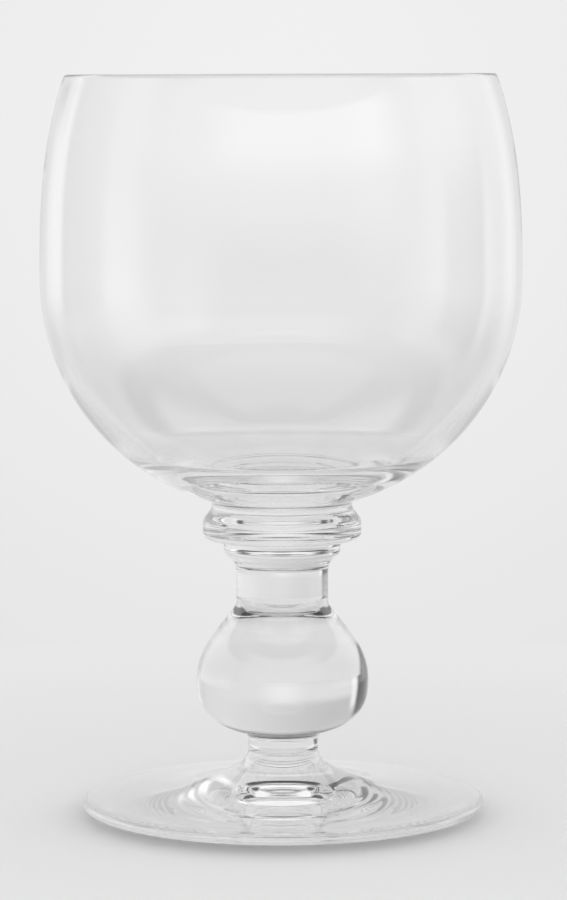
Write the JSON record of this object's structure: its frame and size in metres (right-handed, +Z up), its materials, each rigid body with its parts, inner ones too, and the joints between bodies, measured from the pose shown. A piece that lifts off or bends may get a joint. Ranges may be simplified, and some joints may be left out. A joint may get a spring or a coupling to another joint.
{
  "type": "water goblet",
  "caption": "Stemmed water goblet of clear blown glass with a full round bowl drawn in at the lip, a collared stem with a solid ball knop, and a flat round foot.",
  "frame": {"origin": "on the goblet's axis, in the plane that the foot stands on", "axes": "+Z up along the axis from foot to rim; the goblet is turned about Z, so +X and +Y are any two level directions"},
  "size_m": [0.0914, 0.0914, 0.14],
  "materials": {
    "clear_glass": "fire-polished clear glass"
  },
  "bodies": {
    "root": {"bowl": "clear_glass", "collar": "clear_glass", "upper_neck": "clear_glass", "knop": "clear_glass", "lower_neck": "clear_glass", "foot": "clear_glass"}
  },
  "joints": []
}
